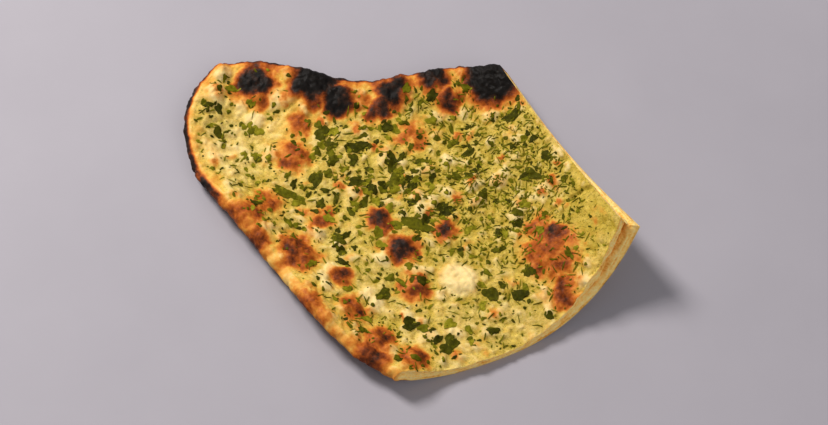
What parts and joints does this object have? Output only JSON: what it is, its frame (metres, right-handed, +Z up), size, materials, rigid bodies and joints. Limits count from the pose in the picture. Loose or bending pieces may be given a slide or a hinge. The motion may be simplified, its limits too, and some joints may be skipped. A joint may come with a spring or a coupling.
{
  "type": "naan bread",
  "caption": "Cut quarter of a flat oven-baked bread with blisters, a charred round crust, two straight cuts meeting in a curled-up corner, and chopped green herb on top.",
  "frame": {"origin": "On the flat underside, in the middle of the part of the bread that rests on the surface.", "axes": "+Z up, away from the surface. +X towards the cut corner, along the longest side. +Y towards the charred back crust."},
  "size_m": [0.1443, 0.1177, 0.0255],
  "materials": {
    "bread": null
  },
  "bodies": {
    "root": {"naan": "bread"}
  },
  "joints": []
}
